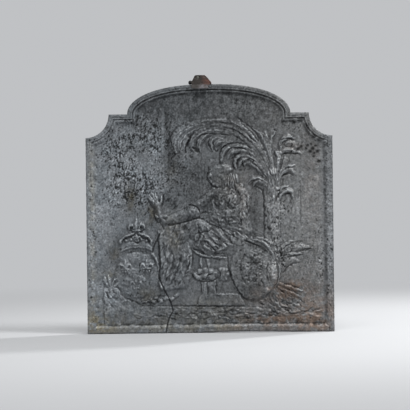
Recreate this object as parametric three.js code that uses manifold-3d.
// A cast-iron fireback: one thick sand-cast plate with an arched top, a moulded rim and a relief
// of a seated figure under a palm tree, and the forged saddle hook that grips its top edge.
// Millimetres. X runs across the plate, -Y is the relief side, +Z is up.
// The origin is the middle of the bottom edge, at half the rim's thickness.

import * as THREE from 'three';
import { mergeVertices } from 'three/addons/utils/BufferGeometryUtils.js';
import Module from 'manifold-3d';

const wasm = await Module();
wasm.setup();

// ---------------------------------------------------------------- driving dimensions

const PLATE_WIDTH = 700;
const SIDE_HEIGHT = 556;
const SHOULDER_HEIGHT = 622;
const NOTCH_WIDTH = 66;
const ARCH_SPAN = 463;
const ARCH_RISE = 83;
const ARCH_FULLNESS = 2.4;
const ARCH_STEPS = 30;
const NOTCH_STEPS = 7;

const RIM_THICKNESS = 25;
const FIELD_THICKNESS = 16;
const EDGE_ROUNDING = 1.5;
const FILLET_WIDTH = 9;
const GROOVE_WIDTH = 1.6;
const GROOVE_DEPTH = 2.5;
const BAND_WIDTH = 10;
const RIM_SLOPE = 2.5;

const RELIEF_SINK = 3;
const CRACK_WIDTH = 1.2;

const FIT = 0.3;
const HOOK_LEFT = -48;
const HOOK_LIP_DROP = 13;
const HOOK_CHEEK = 8;
const HOOK_BRIDGE = 14.3;
const HOOK_LEG_DROP = 84;
const HOOK_LEG_WIDTH = 34;
const HOOK_SHOULDER = 11;
const HOOK_TOP_LENGTH = 27;
const HOOK_LIP_LENGTH = 48;

const KEY_SHANK_DIAMETER = 10;
const KEY_HEAD_DIAMETER = 12.4;
const KEY_HEAD_LENGTH = 9;
const KEY_TIP_INSET = 8;

const NAIL_DIAMETER = 6;
const NAIL_BORE = 6.6;
const NAIL_HEAD_DIAMETER = 9;
const NAIL_HEAD_RISE = 2.2;
const NAIL_EYE_DIAMETER = 12;
const NAIL_EYE_DEPTH = 1.6;
const NAIL_TAIL = 6;
const NAIL_FROM_HOOK_LEFT = 18;

// ---------------------------------------------------------------- derived places

const ARCH_TOP = SHOULDER_HEIGHT + ARCH_RISE;
const BACK_Y = RIM_THICKNESS / 2;
const FRONT_Y = -RIM_THICKNESS / 2;
const FIELD_Y = BACK_Y - FIELD_THICKNESS;
const RIM_WIDTH = FILLET_WIDTH + GROOVE_WIDTH + BAND_WIDTH + RIM_SLOPE;
const FIELD_HALF = PLATE_WIDTH / 2 - RIM_WIDTH;

// ---------------------------------------------------------------- solids

function toSolid(geometry) {
  const bare = geometry.index ? geometry.toNonIndexed() : geometry.clone();
  for (const name of Object.keys(bare.attributes)) {
    if (name !== 'position') bare.deleteAttribute(name);
  }
  const merged = mergeVertices(bare, 1e-4);
  return new wasm.Manifold(new wasm.Mesh({
    numProp: 3,
    vertProperties: new Float32Array(merged.attributes.position.array),
    triVerts: new Uint32Array(merged.index.array),
  }));
}

function toGeometry(solid) {
  const mesh = solid.getMesh();
  const geometry = new THREE.BufferGeometry();
  geometry.setAttribute('position', new THREE.BufferAttribute(mesh.vertProperties, 3));
  geometry.setIndex(new THREE.BufferAttribute(mesh.triVerts, 1));
  geometry.computeVertexNormals();
  return geometry;
}

function fromTriangles(points, faces) {
  const geometry = new THREE.BufferGeometry();
  geometry.setAttribute('position', new THREE.Float32BufferAttribute(points.flat(), 3));
  geometry.setIndex(faces.flat());
  return geometry;
}

// A closed solid through equal rings of points, capped flat at both ends.
function loft(rings, capTriangles) {
  const count = rings[0].length;
  const faces = [];
  for (let r = 0; r + 1 < rings.length; r += 1) {
    for (let i = 0; i < count; i += 1) {
      const j = (i + 1) % count;
      const a = r * count;
      const b = a + count;
      faces.push([a + i, a + j, b + j], [a + i, b + j, b + i]);
    }
  }
  const last = (rings.length - 1) * count;
  for (const [a, b, c] of capTriangles) {
    faces.push([a, c, b], [last + a, last + b, last + c]);
  }
  return outward(fromTriangles(rings.flat(), faces));
}

// Turns the faces round if they point into the solid.
function outward(geometry) {
  const p = geometry.attributes.position;
  const index = geometry.index.array;
  const a = new THREE.Vector3();
  const b = new THREE.Vector3();
  const c = new THREE.Vector3();
  let volume = 0;
  for (let i = 0; i < index.length; i += 3) {
    a.fromBufferAttribute(p, index[i]);
    b.fromBufferAttribute(p, index[i + 1]);
    c.fromBufferAttribute(p, index[i + 2]);
    volume += a.dot(b.cross(c));
  }
  if (volume < 0) {
    for (let i = 0; i < index.length; i += 3) {
      const keep = index[i];
      index[i] = index[i + 1];
      index[i + 1] = keep;
    }
  }
  return geometry;
}

function fan(count) {
  const triangles = [];
  for (let i = 1; i + 1 < count; i += 1) triangles.push([0, i, i + 1]);
  return triangles;
}

// A flat shape in X and Z, drawn as points, with its thickness between two Y values.
function slab(points, yFront, yBack) {
  const shape = new THREE.Shape(points.map(([x, z]) => new THREE.Vector2(x, z)));
  const geometry = new THREE.ExtrudeGeometry(shape, { depth: yBack - yFront, bevelEnabled: false });
  geometry.rotateX(Math.PI / 2);
  geometry.translate(0, yBack, 0);
  return toSolid(geometry);
}

// A turned piece: the profile holds [radius, distance along the axis].
function turned(profile, segments, axis, place) {
  const geometry = new THREE.LatheGeometry(profile.map(([r, h]) => new THREE.Vector2(r, h)), segments);
  const turn = new THREE.Quaternion().setFromUnitVectors(new THREE.Vector3(0, 1, 0), axis);
  geometry.applyQuaternion(turn);
  geometry.translate(place.x, place.y, place.z);
  return toSolid(geometry);
}

// ---------------------------------------------------------------- outline of the plate

function archHeight(x) {
  const u = Math.min(Math.abs(x) / (ARCH_SPAN / 2), 1);
  return SHOULDER_HEIGHT + ARCH_RISE * Math.sqrt(1 - u ** ARCH_FULLNESS);
}

// Anticlockwise from the bottom left corner, with X to the right and Z up.
function outlinePoints() {
  const half = PLATE_WIDTH / 2;
  const right = [[half, 0], [half, SIDE_HEIGHT]];
  const notchHeight = SHOULDER_HEIGHT - SIDE_HEIGHT;
  for (let i = 1; i <= NOTCH_STEPS; i += 1) {
    const angle = (i / NOTCH_STEPS) * Math.PI / 2;
    right.push([
      half - NOTCH_WIDTH * Math.sin(angle),
      SHOULDER_HEIGHT - notchHeight * Math.cos(angle),
    ]);
  }
  const arch = [];
  for (let i = 0; i <= ARCH_STEPS; i += 1) {
    const angle = (i / ARCH_STEPS) * Math.PI;
    const x = Math.sign(Math.cos(angle)) * Math.abs(Math.cos(angle)) ** 0.9 * ARCH_SPAN / 2;
    arch.push([x, archHeight(x)]);
  }
  const left = right.map(([x, z]) => [-x, z]).reverse();
  return [...right, ...arch, ...left];
}

// The outline moved inward by a distance, mitred at its corners.
function inset(points, distance) {
  const count = points.length;
  return points.map((point, i) => {
    const before = points[(i + count - 1) % count];
    const after = points[(i + 1) % count];
    const a = new THREE.Vector2(point[0] - before[0], point[1] - before[1]).normalize();
    const b = new THREE.Vector2(after[0] - point[0], after[1] - point[1]).normalize();
    const normalA = new THREE.Vector2(-a.y, a.x);
    const normalB = new THREE.Vector2(-b.y, b.x);
    const mitre = normalA.clone().add(normalB);
    mitre.multiplyScalar(distance / (1 + normalA.dot(normalB)));
    return [point[0] + mitre.x, point[1] + mitre.y];
  });
}

// The bare plate: flat back, rounded edge, fillet, groove, band and slope down to the field.
function plateSolid() {
  const outline = outlinePoints();
  const bandStart = FILLET_WIDTH + GROOVE_WIDTH;
  const steps = [
    [0, BACK_Y],
    [0, FRONT_Y + EDGE_ROUNDING],
    [EDGE_ROUNDING, FRONT_Y],
    [FILLET_WIDTH, FRONT_Y],
    [FILLET_WIDTH + GROOVE_WIDTH / 2, FRONT_Y + GROOVE_DEPTH],
    [bandStart, FRONT_Y + EDGE_ROUNDING],
    [bandStart + BAND_WIDTH / 2, FRONT_Y],
    [bandStart + BAND_WIDTH, FRONT_Y + EDGE_ROUNDING],
    [RIM_WIDTH, FIELD_Y],
  ];
  const rings = steps.map(([distance, y]) => inset(outline, distance).map(([x, z]) => [x, y, z]));
  const flat = outline.map(([x, z]) => new THREE.Vector2(x, z));
  return toSolid(loft(rings, THREE.ShapeUtils.triangulateShape(flat, [])));
}

// ---------------------------------------------------------------- relief forms

const relief = [];

// A rounded ridge along a path of [x, z] points. Its half width and height swell and taper:
// ends is [share left at the start, share left at the end].
function ridge(path, halfWidth, height, ends = [0.5, 0.25]) {
  const last = path.length - 1;
  const rings = path.map(([x, z], i) => {
    const before = path[Math.max(i - 1, 0)];
    const after = path[Math.min(i + 1, last)];
    const along = new THREE.Vector2(after[0] - before[0], after[1] - before[1]).normalize();
    const t = i / last;
    const taper = ends[0] + (ends[1] - ends[0]) * t;
    const swell = taper + (1 - taper) * Math.sin(Math.PI * t);
    const w = halfWidth * swell;
    const h = height * (0.4 + 0.6 * swell);
    const at = (across, rise) => [x - along.y * across * w, FIELD_Y - rise, z + along.x * across * w];
    return [at(-1, -RELIEF_SINK), at(-0.75, 0.6 * h), at(0, h), at(0.75, 0.6 * h), at(1, -RELIEF_SINK)];
  });
  relief.push(toSolid(loft(rings, fan(5))));
}

// A rounded mound: half of an ellipsoid standing on the field, turned by an angle in degrees.
// Its other half, inside the plate, is pressed flat.
function mound(x, z, halfLength, halfWidth, height, angle = 0, sides = 14) {
  const geometry = new THREE.SphereGeometry(1, sides, 8);
  const place = geometry.attributes.position;
  for (let i = 0; i < place.count; i += 1) {
    place.setY(i, place.getY(i) * (place.getY(i) < 0 ? height : RELIEF_SINK));
  }
  geometry.scale(halfLength, 1, halfWidth);
  geometry.rotateY(-THREE.MathUtils.degToRad(angle));
  geometry.translate(x, FIELD_Y, z);
  relief.push(toSolid(geometry));
}

// A raised flat form with the outline given.
function raised(points, height) {
  relief.push(slab(points, FIELD_Y - height, FIELD_Y + RELIEF_SINK));
}

// A dished disc with a raised rim, as a shield is: half axes a and b.
function shield(x, z, a, b, rim, height) {
  const inner = 1 - rim / a;
  const middle = 1 - rim / (2 * a);
  const profile = [
    [0, -RELIEF_SINK], [1, -RELIEF_SINK], [1, height * 0.5], [middle, height],
    [inner, height * 0.55], [inner * 0.6, height * 0.8], [0, height * 0.95],
  ];
  const geometry = new THREE.LatheGeometry(profile.map(([r, h]) => new THREE.Vector2(r, h)), 28);
  geometry.rotateX(Math.PI);
  geometry.scale(a, 1, b);
  geometry.translate(x, FIELD_Y, z);
  relief.push(toSolid(geometry));
}

// A lily of three petals over a small foot.
function lily(x, z, size, height) {
  ridge([[x, z - 0.55 * size], [x, z], [x, z + 0.6 * size]], 0.16 * size, height, [0.6, 0.3]);
  for (const side of [-1, 1]) {
    ridge([
      [x + side * 0.05 * size, z - 0.2 * size], [x + side * 0.26 * size, z + 0.16 * size],
      [x + side * 0.5 * size, z + 0.14 * size], [x + side * 0.56 * size, z - 0.08 * size],
    ], 0.12 * size, height * 0.8, [0.6, 0.5]);
  }
  ridge([[x - 0.24 * size, z - 0.24 * size], [x + 0.24 * size, z - 0.24 * size]],
    0.08 * size, height * 0.8, [1, 1]);
}

// Copies of one path side by side, each moved on by [dx, dz].
function repeat(count, path, step, halfWidth, height, ends) {
  for (let i = 0; i < count; i += 1) {
    ridge(path.map(([x, z]) => [x + i * step[0], z + i * step[1]]), halfWidth, height, ends);
  }
}

// ---------------------------------------------------------------- the relief's motifs

const GROUND_HEIGHT = 76;
const GROUND_RISE = 3;
const STEP_HEIGHT = 27;
const STEP_LEFT = -190;
const STEP_RIGHT = 95;

function ground() {
  const left = -FIELD_HALF + 20;
  const right = FIELD_HALF - RELIEF_SINK;
  const floor = RIM_WIDTH - RELIEF_SINK;
  raised([[left, floor], [right, floor], [right, GROUND_HEIGHT - 20],
    [120, GROUND_HEIGHT], [left, GROUND_HEIGHT]], GROUND_RISE);
  raised([[STEP_LEFT, GROUND_HEIGHT - 4], [STEP_RIGHT, GROUND_HEIGHT - 4],
    [STEP_RIGHT, GROUND_HEIGHT + STEP_HEIGHT], [STEP_LEFT, GROUND_HEIGHT + STEP_HEIGHT]], 5);
  raised([[left, GROUND_HEIGHT - 4], [-270, GROUND_HEIGHT - 4], [-262, 130], [left, 132]], 4);
  repeat(6, [[-40, 44], [-5, 50], [40, 46]], [44, -1.5], 2.5, 5, [0.4, 0.3]);
  repeat(5, [[130, 60], [150, 76], [166, 70]], [22, -2], 3, 6, [0.4, 0.3]);
}

const TRUNK_X = 174;
const TRUNK_HALF = 23;
const TRUNK_FOOT = 240;
const CROWN_Z = 440;

function palmTree() {
  raised([[TRUNK_X - 28, TRUNK_FOOT], [TRUNK_X + 80, TRUNK_FOOT], [TRUNK_X + 80, 430],
    [TRUNK_X - 28, 430]], 2);
  ridge([[TRUNK_X, TRUNK_FOOT], [TRUNK_X + 2, 300], [TRUNK_X + 3, 360], [TRUNK_X + 4, CROWN_Z]],
    TRUNK_HALF, 9, [0.9, 0.8]);
  // The long frond that arches over the figure.
  for (const [inner, tipX, tipZ] of [[0, -104, 548], [12, -92, 514], [24, -70, 506], [36, -44, 520],
    [48, -22, 520]]) {
    ridge([[172, 472 - inner * 0.3], [142, 540 - inner * 0.8], [96, 582 - inner],
      [30, 600 - inner * 0.9], [-40, 590 - inner * 0.8], [tipX + 6, tipZ + 24], [tipX, tipZ]],
    8, 8, [0.6, 0.25]);
  }
  // The second and third fronds, curling down before it.
  for (const inset of [0, 11]) {
    ridge([[168, 460], [140, 505 - inset * 0.3], [96, 529 - inset], [54, 528 - inset],
      [34 + inset * 0.8, 508], [34 + inset, 484]], 7, 8, [0.6, 0.3]);
  }
  for (const inset of [0, 10]) {
    ridge([[168, 438], [140, 478], [116, 500 - inset], [88, 504 - inset], [72 + inset, 486],
      [76 + inset, 468]], 6, 9, [0.6, 0.3]);
  }
  ridge([[160, 420], [142, 432], [122, 434], [113, 424]], 7, 9, [0.6, 0.3]);
  // The short leaves that stand up and fall to the right.
  ridge([[176, 452], [166, 500], [150, 548], [132, 578]], 7, 8, [0.6, 0.25]);
  ridge([[182, 452], [184, 510], [176, 560], [188, 576]], 6, 8, [0.6, 0.3]);
  ridge([[190, 448], [198, 490], [204, 530], [222, 556], [242, 550]], 7, 9, [0.7, 0.25]);
  ridge([[196, 500], [212, 526], [234, 534], [248, 508]], 7, 8, [0.6, 0.25]);
  ridge([[194, 436], [208, 460], [228, 466], [244, 446]], 7, 8, [0.6, 0.25]);
  ridge([[192, 372], [208, 394], [228, 400], [238, 376]], 6, 8, [0.6, 0.25]);
  mound(178, CROWN_Z, 16, 20, 11, 0, 10);
}

function seatedFigure() {
  // Head with its dome of hair under a band, and the neck.
  mound(16, 444, 21, 26, 14, -8);
  mound(22, 470, 26, 20, 13, 10);
  ridge([[-14, 458], [20, 462], [52, 462]], 5, 15, [0.5, 0.5]);
  mound(56, 464, 9, 7, 11);
  mound(-9, 440, 4, 6, 12, 0, 8);
  ridge([[22, 424], [28, 408], [34, 394]], 14, 12, [0.9, 0.9]);
  // Trunk of the body, shoulder and far arm.
  mound(44, 354, 56, 46, 14, -76);
  mound(38, 384, 22, 22, 17, 0, 12);
  ridge([[86, 400], [96, 360], [92, 320], [104, 290]], 14, 10, [0.7, 0.6]);
  // Raised arm: shoulder to elbow, elbow to wrist, and the open hand.
  ridge([[22, 400], [-10, 374], [-40, 350]], 17, 15, [0.8, 0.9]);
  mound(-50, 342, 22, 15, 15, 12, 12);
  ridge([[-40, 340], [-86, 332], [-130, 322]], 14, 13, [1, 0.6]);
  ridge([[-134, 320], [-146, 344], [-146, 364]], 8, 10, [0.8, 0.9]);
  mound(-147, 366, 10, 9, 10, 0, 10);
  repeat(3, [[-152, 370], [-162, 384], [-170, 398]], [9, 2], 3.2, 9, [0.8, 0.6]);
  ridge([[-142, 366], [-138, 378], [-135, 390]], 3.2, 9, [0.8, 0.6]);
  // Girdle and the cloth over the lap.
  ridge([[-28, 326], [4, 312], [48, 284], [96, 268], [150, 258]], 9, 13, [0.6, 0.6]);
  mound(12, 284, 86, 48, 13, -16);
  ridge([[-112, 300], [-60, 300], [0, 286], [60, 262]], 20, 13, [0.5, 0.7]);
  repeat(4, [[-44, 296], [-14, 268], [24, 248]], [24, -8], 4, 17, [0.4, 0.4]);
  ridge([[-56, 240], [-30, 214], [20, 208], [52, 206]], 7, 10, [0.5, 0.5]);
  // Knee and the skirt that falls to the foot.
  mound(-110, 288, 30, 24, 14, 0, 12);
  for (const [foot, sway] of [[-138, -12], [-118, -6], [-98, 2], [-76, 6], [-58, 4]]) {
    ridge([[foot + 26, 286], [foot + 12 + sway, 230], [foot + sway, 170], [foot, 122]], 10, 12, [0.7, 0.6]);
  }
  ridge([[-142, 300], [-136, 276], [-146, 258], [-140, 236]], 5, 9, [0.6, 0.6]);
  ridge([[-140, 116], [-118, 112], [-96, 118]], 9, 11, [0.6, 0.6]);
}

function seat() {
  mound(0, 162, 48, 20, 11);
  raised([[-26, 104], [14, 104], [14, 150], [-26, 150]], 6);
  mound(44, 170, 18, 15, 9, 0, 10);
}

const LEFT_SHIELD = { x: -208, z: 169, radius: 68 };
const RIGHT_SHIELD = { x: 122, z: 177, a: 70, b: 86 };
const SHIELD_RIM = 11;

function leftShield() {
  const { x, z, radius } = LEFT_SHIELD;
  shield(x, z, radius, radius, SHIELD_RIM, 7);
  lily(x - 34, z + 20, 30, 10);
  lily(x + 30, z + 20, 30, 10);
  lily(x - 2, z - 30, 30, 10);
  // The open crown over it.
  ridge([[x - 50, z + 72], [x - 24, z + 80], [x, z + 82], [x + 24, z + 80], [x + 46, z + 72]], 9, 9, [0.9, 0.9]);
  for (const side of [-1, 1]) {
    ridge([[x + side * 42, z + 86], [x + side * 30, z + 102], [x + side * 12, z + 108],
      [x + side * 3, z + 120]], 5, 9, [0.8, 0.8]);
  }
  ridge([[x, z + 84], [x, z + 106]], 4, 8, [1, 0.6]);
  lily(x, z + 134, 36, 10);
}

function rightShield() {
  const { x, z, a, b } = RIGHT_SHIELD;
  shield(x, z, a, b, SHIELD_RIM, 8);
  mound(x - 8, z + 2, 36, 44, 13, 0, 12);
  mound(x + 58, z + 4, 18, 30, 12, 0, 12);
}

function plantsAndStaves() {
  ridge([[186, 214], [216, 246], [256, 258], [294, 244]], 7, 8, [0.6, 0.25]);
  ridge([[190, 208], [222, 230], [262, 236], [298, 230]], 6, 7, [0.6, 0.25]);
  ridge([[200, 178], [220, 194], [250, 198]], 5, 7, [0.6, 0.25]);
  repeat(3, [[182, 136], [214, 116], [250, 104]], [-2, -12], 4, 7, [0.8, 0.8]);
  ridge([[-296, 134], [-284, 152], [-294, 168], [-280, 172]], 7, 7, [0.6, 0.4]);
  repeat(3, [[-292, 112], [-270, 100], [-250, 84]], [14, 6], 4, 7, [0.6, 0.4]);
  mound(-132, 104, 20, 9, 8);
}

// ---------------------------------------------------------------- the crack

// It starts at the bottom edge and dies out below the lap: [x, z] points upward.
const CRACK_PATH = [
  [-128, -1], [-120, 38], [-108, 63], [-118, 97], [-133, 127], [-145, 158], [-142, 200],
  [-145, 247], [-150, 265],
];

function crackSolid() {
  const last = CRACK_PATH.length - 1;
  const side = (sign) => CRACK_PATH.map(([x, z], i) => {
    const half = (CRACK_WIDTH / 2) * (1 - 0.6 * (i / last));
    return [x + sign * half, z];
  });
  return slab([...side(1), ...side(-1).reverse()], FRONT_Y * 3, BACK_Y * 2);
}

// ---------------------------------------------------------------- pieces

function firebackCasting() {
  ground();
  palmTree();
  seatedFigure();
  seat();
  leftShield();
  rightShield();
  plantsAndStaves();
  const whole = relief.reduce((sum, form) => sum.add(form), plateSolid());
  return toGeometry(whole.subtract(crackSolid()));
}

// The key lies along the top edge, inside the hook, and its head rests on the arch.
const KEY_HEAD_X = HOOK_LEFT - FIT - KEY_HEAD_LENGTH / 2;
const KEY_Z = Math.max(
  archHeight(KEY_HEAD_X) + FIT + KEY_HEAD_DIAMETER / 2,
  ARCH_TOP + FIT + KEY_SHANK_DIAMETER / 2,
);
const BRIDGE_UNDER = KEY_Z + KEY_SHANK_DIAMETER / 2 + FIT;
const HOOK_TOP = BRIDGE_UNDER + HOOK_BRIDGE;
const HOOK_INSIDE = RIM_THICKNESS / 2 + FIT;
const HOOK_OUTSIDE = HOOK_INSIDE + HOOK_CHEEK;
const HOOK_LIP_Z = ARCH_TOP - HOOK_LIP_DROP;
const HOOK_RIGHT = HOOK_LEFT + HOOK_LIP_LENGTH;
const NAIL_X = HOOK_LEFT + NAIL_FROM_HOOK_LEFT;
const NAIL_Z = BRIDGE_UNDER + HOOK_BRIDGE / 2;

function nailBore() {
  const profile = [
    [0, -HOOK_OUTSIDE - 1], [NAIL_EYE_DIAMETER / 2, -HOOK_OUTSIDE - 1],
    [NAIL_EYE_DIAMETER / 2, -HOOK_OUTSIDE + NAIL_EYE_DEPTH],
    [NAIL_BORE / 2, -HOOK_OUTSIDE + NAIL_EYE_DEPTH],
    [NAIL_BORE / 2, HOOK_OUTSIDE + 1], [0, HOOK_OUTSIDE + 1],
  ];
  return turned(profile, 20, new THREE.Vector3(0, 1, 0), new THREE.Vector3(NAIL_X, 0, NAIL_Z));
}

function saddleHook() {
  const cheek = [
    [HOOK_LEFT, HOOK_LIP_Z], [HOOK_RIGHT - 2, HOOK_LIP_Z],
    [HOOK_RIGHT + 4, ARCH_TOP - 2], [HOOK_RIGHT + 10, ARCH_TOP + 3],
    [HOOK_LEFT + HOOK_SHOULDER + HOOK_TOP_LENGTH + 4, HOOK_TOP - 3],
    [HOOK_LEFT + HOOK_SHOULDER + HOOK_TOP_LENGTH, HOOK_TOP],
    [HOOK_LEFT + HOOK_SHOULDER, HOOK_TOP],
    [HOOK_LEFT + HOOK_SHOULDER - 3, HOOK_TOP - 3],
    [HOOK_LEFT + 4, BRIDGE_UNDER + 2], [HOOK_LEFT, BRIDGE_UNDER - 4],
  ];
  const block = slab(cheek, -HOOK_OUTSIDE, HOOK_OUTSIDE);
  const reach = HOOK_LIP_LENGTH * 2;
  const throat = slab([
    [HOOK_LEFT - reach, HOOK_LIP_Z - reach], [HOOK_RIGHT + reach, HOOK_LIP_Z - reach],
    [HOOK_RIGHT + reach, BRIDGE_UNDER], [HOOK_LEFT - reach, BRIDGE_UNDER],
  ], -HOOK_INSIDE, HOOK_INSIDE);
  const legLeft = HOOK_LEFT + (HOOK_LIP_LENGTH - HOOK_LEG_WIDTH) / 2;
  const legRight = legLeft + HOOK_LEG_WIDTH;
  const legFoot = ARCH_TOP - HOOK_LEG_DROP;
  const leg = slab([
    [legLeft + 6, legFoot], [legRight - 6, legFoot], [legRight, legFoot + 8],
    [legRight, BRIDGE_UNDER], [legLeft, BRIDGE_UNDER], [legLeft, legFoot + 8],
  ], HOOK_INSIDE, HOOK_OUTSIDE);
  return toGeometry(block.subtract(throat).add(leg).subtract(nailBore()));
}

function hookKey() {
  const tip = HOOK_RIGHT - KEY_TIP_INSET;
  const headLeft = HOOK_LEFT - FIT - KEY_HEAD_LENGTH;
  const r = KEY_HEAD_DIAMETER / 2;
  const profile = [
    [0, headLeft], [r * 0.6, headLeft + 1], [r, headLeft + 4], [r, headLeft + KEY_HEAD_LENGTH - 1.5],
    [r - 1, headLeft + KEY_HEAD_LENGTH], [KEY_SHANK_DIAMETER / 2, headLeft + KEY_HEAD_LENGTH],
    [KEY_SHANK_DIAMETER / 2, tip - 2], [KEY_SHANK_DIAMETER / 2 - 1.5, tip], [0, tip],
  ];
  return toGeometry(turned(profile, 20, new THREE.Vector3(1, 0, 0), new THREE.Vector3(0, 0, KEY_Z)));
}

function hookNail() {
  const seatY = -HOOK_OUTSIDE + NAIL_EYE_DEPTH - FIT;
  const r = NAIL_DIAMETER / 2;
  const head = NAIL_HEAD_DIAMETER / 2;
  const end = HOOK_OUTSIDE + NAIL_TAIL;
  const profile = [
    [0, seatY - NAIL_HEAD_RISE], [head * 0.7, seatY - NAIL_HEAD_RISE * 0.7], [head, seatY - 0.6],
    [head, seatY], [r, seatY], [r, end - 2], [r * 0.6, end], [0, end],
  ];
  return toGeometry(turned(profile, 16, new THREE.Vector3(0, 1, 0), new THREE.Vector3(NAIL_X, 0, NAIL_Z)));
}

// ---------------------------------------------------------------- the assembly

const castIron = new THREE.MeshStandardMaterial({ color: 0x5b6066, roughness: 0.6, metalness: 0.6 });
const rustedIron = new THREE.MeshStandardMaterial({ color: 0x4f372c, roughness: 0.8, metalness: 0.4 });
const darkIron = new THREE.MeshStandardMaterial({ color: 0x2b2625, roughness: 0.8, metalness: 0.4 });

const fireback = new THREE.Group();

function addPiece(name, geometry, material) {
  const mesh = new THREE.Mesh(geometry, material);
  mesh.name = name;
  fireback.add(mesh);
}

addPiece('fireback_casting', firebackCasting(), castIron);
addPiece('saddle_hook', saddleHook(), rustedIron);
addPiece('hook_key', hookKey(), darkIron);
addPiece('hook_nail', hookNail(), rustedIron);

export default fireback;
